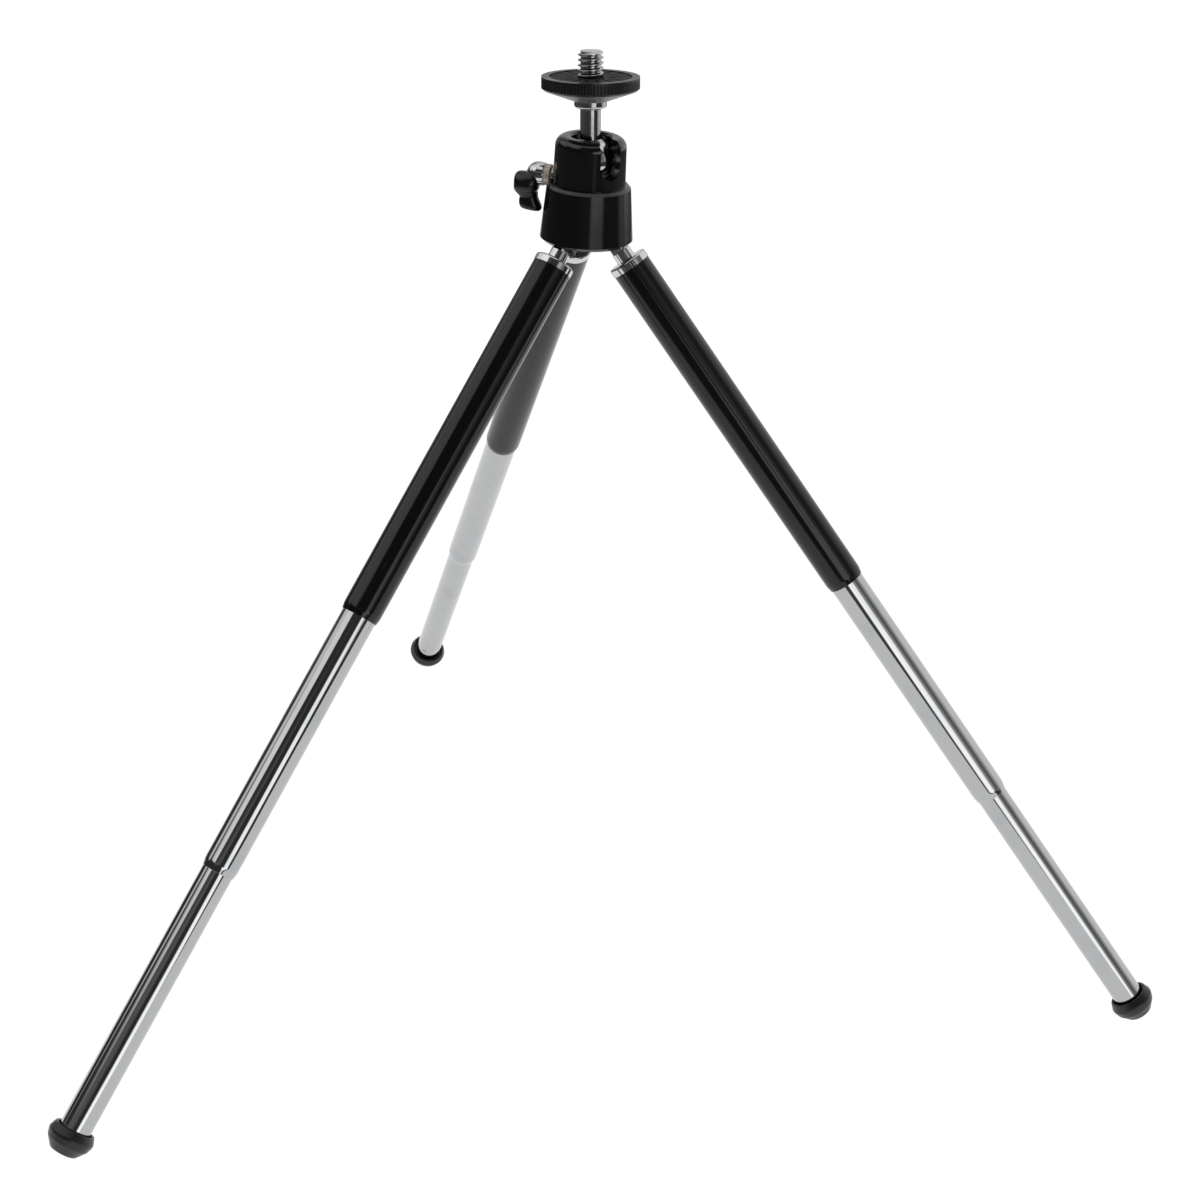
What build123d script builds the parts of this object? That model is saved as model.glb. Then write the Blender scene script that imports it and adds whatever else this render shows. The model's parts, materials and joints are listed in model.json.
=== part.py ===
from build123d import *
import math
import os

# Mini tabletop tripod with a ball head, its legs spread and fully drawn out.
# Millimetres. +Z is up. The origin is on the ground, under the axis of the head.
# Azimuths are counted from +X towards +Y, and the rear leg points along +Y.

os.makedirs("parts", exist_ok=True)

# ------------------------------------------------------------------ driving dimensions

# Legs. Lengths along a leg are counted from its hinge axis.
leg_azimuths = {"left": 210.0, "right": 330.0, "rear": 90.0}
leg_angle = 38.84              # of an open leg from the vertical
leg_room = 0.05                # folded legs, cap to cap, on the radius of the hinge axes
pivot_to_cap = 7.55
cap_height = 2.1
cap_step = 0.15                # radius of a cap over its sleeve's
cap_round = 0.6
plug_length = 4.0              # of the cap, inside the sleeve
neck_radius = 2.5
neck_length = 2.6
tongue_width = 3.6             # in the plane in which the leg swings
tongue_thick = 3.0             # along the hinge pin
sleeve_length = 99.4           # black outer tube
sleeve_radius = 5.0
sleeve_wall = 0.40
middle_out = 70.9              # middle tube that shows
middle_wall = 0.36
middle_inside = 20.0           # middle tube left in the sleeve
lower_out = 68.3               # lower tube that shows
lower_wall = 0.35
lower_inside = 16.0            # lower tube left in the middle one
tube_gap = 0.12                # radial, from a tube to the bore round it
mouth_play = 0.04              # radial, from a tube to the rolled-in mouth round it
mouth_length = 2.0
mouth_taper = 1.6              # length of the taper outside the mouth
mouth_drop = 0.28              # radius lost by that taper
bush_play = 0.03               # radial, from a bush to the bore that it slides in
bush_head = 4.0
bush_spigot = 3.0
bush_bore = 1.5
fit_play = 0.02                # radial, between pieces pushed together

# Feet
foot_wall = 1.85               # round the tube
foot_band = 3.0                # straight band at the top
foot_height = 8.0              # along the leg
foot_waist_step = 0.85         # radius lost between the two rounds of its side
foot_waist = 5.3               # from the lip to that place
foot_upper_round = 3.0         # radii of the two rounds
foot_lower_round = 3.2
foot_end_radius = 3.2
foot_lip = 0.7                 # round of the lip
foot_collar = 0.35             # moat round the tube
tube_in_foot = 5.8
crimp_radius = 0.8             # punched mark that holds the foot on
crimp_depth = 0.15
crimp_above_foot = 2.2
crimp_turn = 48.6              # round the tube, from its side towards its underside

# Hinge pins, hinge block and base screw
pin_radius = 1.0
pin_length = 9.6
pin_play = 0.03                # radial, in the tongues
pivot_above_skirt = 2.0        # hinge axes above the bottom of the skirt
hinge_side_play = 0.10         # each side of a tongue
hinge_end_play = 0.25          # round the end of a tongue
block_height = 7.0
block_play = 0.10              # radial, in the skirt
base_screw_radius = 1.5
base_screw_head = 2.7          # radius
base_screw_head_height = 2.4
base_screw_length = 6.8        # below its head
base_screw_socket = 2.5        # across flats
base_screw_socket_depth = 1.3
head_room = 0.15               # round the head of the screw

# Skirt: the lower housing
skirt_height = 14.5
skirt_wall = 1.5               # at the bottom
skirt_shoulder = 1.45          # from the cup to the edge of the skirt
tongue_room = 0.38             # from an open tongue to the inside of the skirt
skirt_web = 3.2                # between the hinge block and the cup
skirt_edge = 0.8               # chamfer round the bottom
skirt_inner_edge = 0.4
skirt_bevel = 0.7              # round the shoulder

# Cup: the upper housing
cup_height = 12.0              # above the skirt
cup_wall = 3.1                 # round the ball
cup_taper = 0.3                # radius lost towards the top
cup_top_round = 2.4
mouth_hold = 1.1               # radius of the ball over that of the mouth
cup_mouth_round = 0.8
spigot_step = 0.9              # cup's radius less its spigot's
spigot_end_play = 0.2
slot_azimuth = 290.0           # notch that lets the stem lie flat
slot_play = 0.45               # each side of the stem

# Ball, seat and stud
ball_radius = 6.0
ball_below_rim = 6.2           # centre of the ball below the top of the cup
ball_play = 0.05               # radial, all round the ball
seat_below_ball = 3.2          # top of the seat below the centre of the ball
seat_relief = 0.1              # of the seat round the brake shoe
stud_lean = 4.5                # of the stud from the vertical, away from the slot
stem_radius = 2.55
stem_in_ball = 4.0
stem_play = 0.03               # radial, in the ball
collar_radius = 4.05
collar_height = 1.9
collar_round = 0.7
ball_to_collar = 13.0          # centre of the ball to the underside of the collar
tip_radius = 2.2               # of the stud, inside the platform
tip_length = 2.2

# Platform, pad and camera screw
platform_radius = 12.2
platform_rim = 3.3             # height of its side
platform_cone = 2.6            # height of its conical underside
platform_cone_radius = 4.6     # where the cone meets the collar
platform_edge = 0.5            # chamfer below its side
platform_border = 1.9          # width of the raised border
platform_recess = 0.9
rib_count = 90
rib_depth = 0.18
rib_radius = 0.27              # of the section of the grooves between the ribs
pad_play = 0.10
pad_thick = 0.7
pad_grooves = 16
pad_groove_width = 0.6
pad_groove_depth = 0.35
pad_hub = 4.8                  # radius where the grooves start
screw_radius = 3.175           # 1/4 inch - 20
screw_above_rim = 6.2
screw_shank_radius = 2.4
screw_shank = 2.2              # in the platform
screw_neck = 0.15              # that shows above the pad, below the thread
screw_chamfer = 0.5

# Lock screw, shoe and knob
knob_azimuth = 150.0
knob_above_skirt = 1.0         # axis of the screw above the shoulder
lock_radius = 2.0
lock_play = 0.05               # radial, in the cup
shoe_length = 2.7              # along the screw, at its longest
shoe_back = 1.5                # from the ball to the end of the shoe, along its top
shoe_gap = 0.05                # from the ball
lock_gap = 0.30                # cup to knurled collar
knurl_step = 0.7               # radius of the collar over the screw's
knurl_length = 3.6
knurl_edge = 0.4
relief_play = 0.35             # round the collar, in the shoulder of the skirt
lock_tip_radius = 1.4          # of the screw, inside the core
lock_tip_length = 2.6
core_step = 0.4                # radius of the core over the collar's
core_length = 4.4
core_round = 1.5
grip_radius = 3.1
grip_start = 0.5               # behind the face of the collar
grip_length = 6.2
grip_side = 1.3                # centre of the grip beside the axis
grip_drop = 1.5                # centre of the grip below the axis
grip_round = 0.9
lever_reach = 9.1              # axis to tip
lever_thick = 4.6
lever_front = 5.3              # front of the lever past the face of the collar
lever_hollow = 0.35            # back of the lever past that face, beside the skirt
toe_room = 0.35                # from the skirt to the toe of the lever
lever_round = 1.1
toe_round = 0.55
# Heights of the lever's corners below the axis, as shares of its reach.
lever_heel_share = 0.58        # where its back turns towards the toe
lever_toe_share = 0.80
lever_sole_share = 0.88        # front end of its sloping underside
lever_front_share = 0.74

# ------------------------------------------------------------------ worked-out places

tilt = math.radians(leg_angle)
cap_radius = sleeve_radius + cap_step
# Three folded legs stand side by side on this circle.
pivot_radius = cap_radius / math.cos(math.radians(30)) + leg_room
tongue_length = pivot_to_cap - neck_length / 2
pivot_to_sleeve = pivot_to_cap + cap_height
pivot_to_sleeve_end = pivot_to_sleeve + sleeve_length
pivot_to_middle = pivot_to_sleeve_end - middle_inside
pivot_to_middle_end = pivot_to_sleeve_end + middle_out
pivot_to_lower = pivot_to_middle_end - lower_inside
pivot_to_foot = pivot_to_middle_end + lower_out
pivot_to_foot_end = pivot_to_foot + foot_height

sleeve_bore = sleeve_radius - sleeve_wall
middle_radius = sleeve_bore - tube_gap
middle_bore = middle_radius - middle_wall
lower_radius = middle_bore - tube_gap
lower_bore = lower_radius - lower_wall
foot_radius = lower_radius + foot_wall

# A foot stands on the lowest point round the edge of its flat end.
pivot_height = pivot_to_foot_end * math.cos(tilt) + foot_end_radius * math.sin(tilt)

skirt_bottom = pivot_height - pivot_above_skirt
skirt_top = skirt_bottom + skirt_height
# The upper side of an open tongue crosses the level of the skirt's bottom here.
tongue_reach = (
    pivot_radius
    + tongue_width / 2 * math.cos(tilt)
    + (pivot_above_skirt + tongue_width / 2 * math.sin(tilt)) * math.tan(tilt)
)
recess_radius = tongue_reach + tongue_room
skirt_bottom_radius = recess_radius + skirt_wall
block_top = skirt_bottom + block_height
web_top = block_top + skirt_web
cup_top = skirt_top + cup_height
cavity_radius = ball_radius + ball_play
cup_radius = cavity_radius + cup_wall
cup_top_radius = cup_radius - cup_taper
cup_mouth_radius = ball_radius - mouth_hold
spigot_radius = cup_radius - spigot_step
skirt_top_radius = cup_radius + skirt_shoulder
slot_width = 2 * (stem_radius + slot_play)
ball_height = cup_top - ball_below_rim
knob_height = skirt_top + knob_above_skirt


def heading(azimuth):
    """Level unit vector at an azimuth in degrees."""
    angle = math.radians(azimuth)
    return Vector(math.cos(angle), math.sin(angle), 0)


up = Vector(0, 0, 1)
ball_centre = Vector(0, 0, ball_height)
slot_direction = heading(slot_azimuth)
lean = math.radians(stud_lean)
stud_direction = up * math.cos(lean) - slot_direction * math.sin(lean)
stud_side = up * math.sin(lean) + slot_direction * math.cos(lean)
stud_axis = Axis(ball_centre, stud_direction)
# In this plane x is the radius from the stud's axis, and y is the distance from the ball.
stud_section = Plane(origin=ball_centre, x_dir=stud_side, z_dir=stud_side.cross(stud_direction))

knob_direction = heading(knob_azimuth)
knob_side = up.cross(knob_direction)
knob_origin = Vector(0, 0, knob_height)
knob_axis = Axis(knob_origin, knob_direction)
# In this plane x is the height above the screw's axis, and y is the distance along it.
knob_section = Plane(origin=knob_origin, x_dir=up, z_dir=up.cross(knob_direction))

collar_top = ball_to_collar + collar_height
platform_side = collar_top + platform_cone
platform_top = platform_side + platform_rim
recess_floor = platform_top - platform_recess

knurl_radius = lock_radius + knurl_step
core_radius = knurl_radius + core_step
shoe_ball_radius = ball_radius + shoe_gap
shoe_top_drop = ball_height - knob_height - lock_radius
shoe_end = math.sqrt(shoe_ball_radius**2 - shoe_top_drop**2) + shoe_back
shoe_start = shoe_end - shoe_length
collar_start = cup_radius + lock_gap
collar_end = collar_start + knurl_length
lever_toe = collar_end - skirt_bottom_radius - toe_room


def turned(section, axis, points):
    """Solid of revolution of a closed outline of (radius, distance) points."""
    with BuildPart() as solid:
        with BuildSketch(section):
            with BuildLine():
                Polyline(*points, close=True)
            make_face()
        revolve(axis=axis)
    return solid


def level(height):
    """Plane square to the head's axis at a height."""
    return Plane.XY.offset(height)


def across(origin, direction, sideways):
    """Plane square to a direction, with its x along sideways."""
    return Plane(origin=origin, x_dir=sideways, z_dir=direction)


def save(solid, name):
    """Name a finished piece and write it."""
    solid.label = name
    export_step(solid, f"parts/{name}.step")


# ------------------------------------------------------------------ housing

upright = Plane.XZ
head_axis = Axis.Z

# Skirt: a conical shell with a floor, the hinge block below it and the cup's spigot above.
with BuildPart() as skirt:
    with BuildSketch(upright):
        with BuildLine():
            Polyline(
                (recess_radius + skirt_inner_edge, skirt_bottom),
                (skirt_bottom_radius - skirt_edge, skirt_bottom),
                (skirt_bottom_radius, skirt_bottom + skirt_edge),
                (skirt_top_radius, skirt_top - skirt_bevel),
                (skirt_top_radius - skirt_bevel, skirt_top),
                (spigot_radius + fit_play, skirt_top),
                (spigot_radius + fit_play, web_top),
                (base_screw_radius, web_top),
                (base_screw_radius, block_top),
                (recess_radius, block_top),
                (recess_radius, skirt_bottom + skirt_inner_edge),
                close=True,
            )
        make_face()
    revolve(axis=head_axis)
    # Relief in the shoulder for the knurled collar of the lock screw.
    with BuildSketch(across(knob_origin, knob_direction, knob_side)):
        Circle(knurl_radius + relief_play)
    extrude(amount=2 * skirt_top_radius, mode=Mode.SUBTRACT)
save(skirt.part, "skirt")

# Cup: holds the ball under its rim. The slot lets the stem down to the level of the ball.
with BuildPart() as cup:
    with BuildSketch(upright):
        with BuildLine():
            Polyline(
                (0, web_top + spigot_end_play),
                (spigot_radius, web_top + spigot_end_play),
                (spigot_radius, skirt_top),
                (cup_radius, skirt_top),
                (cup_top_radius, cup_top),
                (0, cup_top),
                close=True,
            )
        make_face()
    revolve(axis=head_axis)
    fillet(cup.edges().sort_by(Axis.Z)[-1], cup_top_round)
    with BuildSketch(level(web_top)):
        Circle(cavity_radius)
    extrude(amount=ball_height - web_top, mode=Mode.SUBTRACT)
    with Locations(ball_centre):
        Sphere(cavity_radius, mode=Mode.SUBTRACT)
    with BuildSketch(level(ball_height)):
        Circle(cup_mouth_radius)
    extrude(amount=cup_height, mode=Mode.SUBTRACT)
    rim_face = cup.faces().filter_by(GeomType.PLANE).sort_by(Axis.Z)[-1]
    fillet(rim_face.edges().sort_by(SortBy.RADIUS)[0], cup_mouth_round)
    with BuildSketch(across(ball_centre, slot_direction, slot_direction.cross(up))):
        Circle(slot_width / 2)
        with Locations((0, -cup_height / 2)):
            Rectangle(slot_width, cup_height)
    extrude(amount=2 * cup_radius, mode=Mode.SUBTRACT)
    with BuildSketch(across(knob_origin, knob_direction, knob_side)):
        Circle(lock_radius + lock_play)
    extrude(amount=2 * cup_radius, mode=Mode.SUBTRACT)
save(cup.part, "cup")

# Ball seat: a plastic ring with a spherical top, let out where the shoe passes.
with BuildPart() as ball_seat:
    with BuildSketch(level(web_top)):
        Circle(cavity_radius - fit_play)
    extrude(amount=ball_height - seat_below_ball - web_top)
    with Locations(ball_centre):
        Sphere(cavity_radius, mode=Mode.SUBTRACT)
    relief_start = knob_origin + knob_direction * (shoe_start - seat_relief)
    with BuildSketch(across(relief_start, knob_direction, knob_side)):
        Circle(lock_radius + seat_relief)
    extrude(amount=cavity_radius, mode=Mode.SUBTRACT)
save(ball_seat.part, "ball_seat")

# Hinge block: carries the three pins, with a slot for each tongue and the screw from below.
slot_inner = pivot_radius - tongue_width / 2 - hinge_end_play
slot_top = pivot_height + tongue_width / 2 + hinge_end_play
with BuildPart() as hinge_block:
    with BuildSketch(level(skirt_bottom)):
        Circle(recess_radius - block_play)
    extrude(amount=block_height)
    for azimuth in leg_azimuths.values():
        outward = heading(azimuth)
        tangent = up.cross(outward)
        with BuildSketch(across(outward * slot_inner, outward, tangent)):
            with Locations((0, (skirt_bottom + slot_top) / 2)):
                Rectangle(tongue_thick + 2 * hinge_side_play, slot_top - skirt_bottom)
        extrude(amount=recess_radius, mode=Mode.SUBTRACT)
        pin_centre = outward * pivot_radius + up * pivot_height
        with BuildSketch(across(pin_centre, tangent, outward)):
            Circle(pin_radius)
        extrude(amount=pin_length / 2, both=True, mode=Mode.SUBTRACT)
    with BuildSketch(level(skirt_bottom)):
        Circle(base_screw_head + head_room)
    extrude(amount=base_screw_head_height + head_room, mode=Mode.SUBTRACT)
    with BuildSketch(level(skirt_bottom)):
        Circle(base_screw_radius + head_room)
    extrude(amount=block_height, mode=Mode.SUBTRACT)
save(hinge_block.part, "hinge_block")

# Hinge pins: one group of three.
with BuildPart() as hinge_pins:
    for azimuth in leg_azimuths.values():
        outward = heading(azimuth)
        tangent = up.cross(outward)
        pin_centre = outward * pivot_radius + up * pivot_height
        with BuildSketch(across(pin_centre, tangent, outward)):
            Circle(pin_radius)
        extrude(amount=pin_length / 2, both=True)
save(hinge_pins.part, "hinge_pins")

# Base screw: socket head, holds the hinge block to the floor of the skirt.
head_seat = skirt_bottom + base_screw_head_height + head_room
with BuildPart() as base_screw:
    with BuildSketch(level(head_seat)):
        Circle(base_screw_head)
    extrude(amount=-base_screw_head_height)
    with BuildSketch(level(head_seat)):
        Circle(base_screw_radius)
    extrude(amount=base_screw_length)
    with BuildSketch(level(head_seat - base_screw_head_height)):
        RegularPolygon(base_screw_socket / 2, 6, major_radius=False)
    extrude(amount=base_screw_socket_depth, mode=Mode.SUBTRACT)
save(base_screw.part, "base_screw")

# ------------------------------------------------------------------ ball, stud and platform

# Ball: bored for the stem.
with BuildPart() as ball:
    with Locations(ball_centre):
        Sphere(ball_radius)
    bore_start = ball_centre + stud_direction * (ball_radius - stem_in_ball)
    with BuildSketch(across(bore_start, stud_direction, stud_side)):
        Circle(stem_radius + stem_play)
    extrude(amount=stem_in_ball + stem_play, mode=Mode.SUBTRACT)
save(ball.part, "ball")

# Stud: stem and collar, with a tip that the platform is pressed on to.
with BuildPart() as stud:
    with BuildSketch(stud_section):
        with BuildLine():
            Polyline(
                (tip_radius, collar_top),
                (tip_radius, collar_top + tip_length),
                (0, collar_top + tip_length),
                (0, ball_radius - stem_in_ball + stem_play),
                (stem_radius, ball_radius - stem_in_ball + stem_play),
                (stem_radius, ball_to_collar),
                (collar_radius - collar_round, ball_to_collar),
            )
            RadiusArc(
                (collar_radius - collar_round, ball_to_collar),
                (collar_radius, ball_to_collar + collar_round),
                -collar_round,
            )
            Polyline(
                (collar_radius, ball_to_collar + collar_round),
                (collar_radius, collar_top),
                (tip_radius, collar_top),
            )
        make_face()
    revolve(axis=stud_axis)
save(stud.part, "stud")

# Platform: a ribbed disc with a conical underside and a raised border.
with BuildPart() as platform:
    with BuildSketch(stud_section):
        with BuildLine():
            Polyline(
                (tip_radius, collar_top),
                (platform_cone_radius, collar_top),
                (platform_radius - platform_edge, platform_side),
                (platform_radius, platform_side + platform_edge),
                (platform_radius, platform_top),
                (platform_radius - platform_border, platform_top),
                (platform_radius - platform_border, recess_floor),
                (screw_shank_radius, recess_floor),
                (screw_shank_radius, recess_floor - screw_shank),
                (0, recess_floor - screw_shank),
                (0, collar_top + tip_length),
                (tip_radius, collar_top + tip_length),
                close=True,
            )
        make_face()
    revolve(axis=stud_axis)
    rib_start = ball_centre + stud_direction * (platform_side + platform_edge)
    with BuildSketch(across(rib_start, stud_direction, stud_side)):
        with PolarLocations(platform_radius + rib_radius - rib_depth, rib_count):
            Circle(rib_radius)
    extrude(amount=platform_rim - 2 * platform_edge, mode=Mode.SUBTRACT)
save(platform.part, "platform")

# Pad: lies in the recess, with grooves from its hub to its edge.
pad_radius = platform_radius - platform_border - pad_play
pad_top = recess_floor + pad_thick
with BuildPart() as platform_pad:
    with BuildSketch(across(ball_centre + stud_direction * recess_floor, stud_direction, stud_side)):
        Circle(pad_radius)
        Circle(screw_radius + pad_play, mode=Mode.SUBTRACT)
    extrude(amount=pad_thick)
    with BuildSketch(across(ball_centre + stud_direction * pad_top, stud_direction, stud_side)):
        with PolarLocations((pad_hub + pad_radius) / 2, pad_grooves):
            Rectangle(pad_radius - pad_hub + 2 * pad_play, pad_groove_width)
    extrude(amount=-pad_groove_depth, mode=Mode.SUBTRACT)
save(platform_pad.part, "platform_pad")

# Camera screw, by its major diameter, on a shank in the platform.
screw_top = platform_top + screw_above_rim
camera_screw = turned(
    stud_section,
    stud_axis,
    [
        (0, recess_floor - screw_shank),
        (screw_shank_radius, recess_floor - screw_shank),
        (screw_shank_radius, pad_top + screw_neck),
        (screw_radius, pad_top + screw_neck),
        (screw_radius, screw_top - screw_chamfer),
        (screw_radius - screw_chamfer, screw_top),
        (0, screw_top),
    ],
)
save(camera_screw.part, "camera_screw")

# ------------------------------------------------------------------ lock

# Brake shoe: pressed on the ball by the lock screw.
with BuildPart() as brake_shoe:
    with BuildSketch(across(knob_origin + knob_direction * shoe_start, knob_direction, knob_side)):
        Circle(lock_radius)
    extrude(amount=shoe_length)
    with Locations(ball_centre):
        Sphere(shoe_ball_radius, mode=Mode.SUBTRACT)
save(brake_shoe.part, "brake_shoe")

# Lock screw: shank, knurled collar and the tip that carries the knob.
lock_screw = turned(
    knob_section,
    knob_axis,
    [
        (0, shoe_end),
        (lock_radius, shoe_end),
        (lock_radius, collar_start),
        (knurl_radius - knurl_edge, collar_start),
        (knurl_radius, collar_start + knurl_edge),
        (knurl_radius, collar_end - knurl_edge),
        (knurl_radius - knurl_edge, collar_end),
        (lock_tip_radius, collar_end),
        (lock_tip_radius, collar_end + lock_tip_length),
        (0, collar_end + lock_tip_length),
    ],
)
save(lock_screw.part, "lock_screw")

# Knob core: a domed metal boss on the tip of the lock screw.
core_end = collar_end + core_length
with BuildPart() as knob_core:
    with BuildSketch(knob_section):
        with BuildLine():
            Polyline(
                (0, core_end),
                (0, collar_end + lock_tip_length),
                (lock_tip_radius, collar_end + lock_tip_length),
                (lock_tip_radius, collar_end),
                (core_radius, collar_end),
                (core_radius, core_end - core_round),
            )
            RadiusArc(
                (core_radius, core_end - core_round),
                (core_radius - core_round, core_end),
                -core_round,
            )
            Line((core_radius - core_round, core_end), (0, core_end))
        make_face()
    revolve(axis=knob_axis)
save(knob_core.part, "knob_core")

# Knob grip: a moulded hub beside the core and a lever that hangs from it.
grip_centre = knob_side * grip_side - up * grip_drop
grip_plane = across(
    knob_origin + knob_direction * (collar_end + grip_start) + grip_centre, knob_direction, knob_side
)
lever_plane = Plane(
    origin=knob_origin + knob_direction * collar_end + knob_side * grip_side,
    x_dir=knob_direction,
    z_dir=knob_direction.cross(up),
)
with BuildPart() as knob_grip:
    with BuildSketch(lever_plane):
        Polygon(
            (lever_hollow, -grip_drop),
            (lever_hollow, -lever_heel_share * lever_reach),
            (-lever_toe, -lever_toe_share * lever_reach),
            (-lever_toe, -lever_reach),
            (lever_front - lever_round, -lever_sole_share * lever_reach),
            (lever_front, -lever_front_share * lever_reach),
            (lever_front, -grip_drop),
            align=None,
        )
    extrude(amount=lever_thick / 2, both=True)
    toe_edges = knob_grip.edges().filter_by(Axis(knob_origin, knob_side)).group_by(Axis.Z)[0]
    fillet(toe_edges, toe_round)
    with BuildSketch(grip_plane):
        Circle(grip_radius)
    extrude(amount=grip_length)
    end_face = knob_grip.faces().sort_by(knob_axis)[-1]
    fillet(end_face.edges(), grip_round)
    toe_end = knob_origin + knob_direction * (collar_end - lever_toe)
    with BuildSketch(across(toe_end, knob_direction, knob_side)):
        Circle(core_radius)
    extrude(amount=core_length + lever_toe, mode=Mode.SUBTRACT)
save(knob_grip.part, "knob_grip")

# ------------------------------------------------------------------ legs


def drawn_tube(section, axis, start, end, outer, bore, mouth):
    """Tube with its far end rolled in to a mouth and tapered outside."""
    return turned(
        section,
        axis,
        [
            (bore, start),
            (outer, start),
            (outer, end - mouth_taper),
            (outer - mouth_drop, end),
            (mouth, end),
            (mouth, end - mouth_length),
            (bore, end - mouth_length - tube_gap),
        ],
    )


def tube_bush(section, axis, tube_start, tube_bore, outer_bore):
    """Bush on the near end of a tube: a head that slides in the tube outside, and a spigot."""
    return turned(
        section,
        axis,
        [
            (bush_bore, tube_start - bush_head),
            (outer_bore - bush_play, tube_start - bush_head),
            (outer_bore - bush_play, tube_start),
            (tube_bore - fit_play, tube_start),
            (tube_bore - fit_play, tube_start + bush_spigot),
            (bush_bore, tube_start + bush_spigot),
        ],
    )


for name, azimuth in leg_azimuths.items():
    outward = heading(azimuth)
    pivot = outward * pivot_radius + up * pivot_height
    along = outward * math.sin(tilt) - up * math.cos(tilt)
    above = outward * math.cos(tilt) + up * math.sin(tilt)
    tangent = up.cross(outward)
    leg_axis = Axis(pivot, along)
    # In this plane x is the radius from the leg's axis, and y is the distance from its hinge.
    leg_section = Plane(origin=pivot, x_dir=above, z_dir=above.cross(along))

    # Cap: closes the sleeve and carries the hinge tongue.
    with BuildPart() as leg_cap:
        with BuildSketch(leg_section):
            with BuildLine():
                Polyline(
                    (cap_radius - cap_round, pivot_to_cap),
                    (neck_radius, pivot_to_cap),
                    (neck_radius, pivot_to_cap - neck_length),
                    (0, pivot_to_cap - neck_length),
                    (0, pivot_to_sleeve + plug_length),
                    (sleeve_bore - fit_play, pivot_to_sleeve + plug_length),
                    (sleeve_bore - fit_play, pivot_to_sleeve),
                    (cap_radius, pivot_to_sleeve),
                    (cap_radius, pivot_to_cap + cap_round),
                )
                RadiusArc(
                    (cap_radius, pivot_to_cap + cap_round),
                    (cap_radius - cap_round, pivot_to_cap),
                    cap_round,
                )
            make_face()
        revolve(axis=leg_axis)
        with BuildSketch(across(pivot, tangent, above)):
            Circle(tongue_width / 2)
            with Locations((0, tongue_length / 2)):
                Rectangle(tongue_width, tongue_length)
        extrude(amount=tongue_thick / 2, both=True)
        with BuildSketch(across(pivot, tangent, above)):
            Circle(pin_radius + pin_play)
        extrude(amount=tongue_thick, both=True, mode=Mode.SUBTRACT)
    save(leg_cap.part, f"{name}_cap")

    sleeve = drawn_tube(
        leg_section,
        leg_axis,
        pivot_to_sleeve,
        pivot_to_sleeve_end,
        sleeve_radius,
        sleeve_bore,
        middle_radius + mouth_play,
    )
    save(sleeve.part, f"{name}_sleeve")

    middle_tube = drawn_tube(
        leg_section,
        leg_axis,
        pivot_to_middle,
        pivot_to_middle_end,
        middle_radius,
        middle_bore,
        lower_radius + mouth_play,
    )
    save(middle_tube.part, f"{name}_middle_tube")

    middle_bush = tube_bush(leg_section, leg_axis, pivot_to_middle, middle_bore, sleeve_bore)
    save(middle_bush.part, f"{name}_middle_bush")

    # Lower tube: straight, with one punched mark above the foot.
    crimp = math.radians(crimp_turn)
    crimp_direction = tangent * -math.cos(crimp) - above * math.sin(crimp)
    crimp_centre = pivot + along * (pivot_to_foot - crimp_above_foot)
    with BuildPart() as lower_tube:
        with BuildSketch(across(pivot + along * pivot_to_lower, along, above)):
            Circle(lower_radius)
            Circle(lower_bore, mode=Mode.SUBTRACT)
        extrude(amount=pivot_to_foot + tube_in_foot - pivot_to_lower)
        crimp_floor = crimp_centre + crimp_direction * (lower_radius - crimp_depth)
        with BuildSketch(across(crimp_floor, crimp_direction, along)):
            Circle(crimp_radius)
        extrude(amount=2 * crimp_depth, mode=Mode.SUBTRACT)
    save(lower_tube.part, f"{name}_lower_tube")

    lower_bush = tube_bush(leg_section, leg_axis, pivot_to_lower, lower_bore, middle_bore)
    save(lower_bush.part, f"{name}_lower_bush")

    # Foot: a rubber cup pushed over the tube, rounded in two steps to a flat end.
    with BuildPart() as foot:
        with BuildSketch(leg_section):
            with BuildLine():
                Polyline(
                    (foot_end_radius, pivot_to_foot_end),
                    (0, pivot_to_foot_end),
                    (0, pivot_to_foot + tube_in_foot),
                    (lower_radius, pivot_to_foot + tube_in_foot),
                    (lower_radius, pivot_to_foot + foot_collar),
                    (lower_radius + foot_collar, pivot_to_foot + foot_collar),
                    (lower_radius + foot_collar, pivot_to_foot),
                    (foot_radius - foot_lip, pivot_to_foot),
                )
                RadiusArc(
                    (foot_radius - foot_lip, pivot_to_foot),
                    (foot_radius, pivot_to_foot + foot_lip),
                    -foot_lip,
                )
                Line((foot_radius, pivot_to_foot + foot_lip), (foot_radius, pivot_to_foot + foot_band))
                RadiusArc(
                    (foot_radius, pivot_to_foot + foot_band),
                    (foot_radius - foot_waist_step, pivot_to_foot + foot_waist),
                    -foot_upper_round,
                )
                RadiusArc(
                    (foot_radius - foot_waist_step, pivot_to_foot + foot_waist),
                    (foot_end_radius, pivot_to_foot_end),
                    -foot_lower_round,
                )
            make_face()
        revolve(axis=leg_axis)
    save(foot.part, f"{name}_foot")
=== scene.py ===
# %% [markdown]
# # A mini tripod with a ball head
#
# This lesson dresses a finished engineering model for the studio. The model comes
# first: every tube, screw and housing is loaded at its real size, and none of them is moved
# or resized here. What is added is what a drawing leaves out: the screw's thread, the knurl,
# the drawn tubes' rolled ends, the moulded grip and a finish for every surface.

import json
import math

import bpy
import numpy as np
from mathutils import Matrix, Vector


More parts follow.
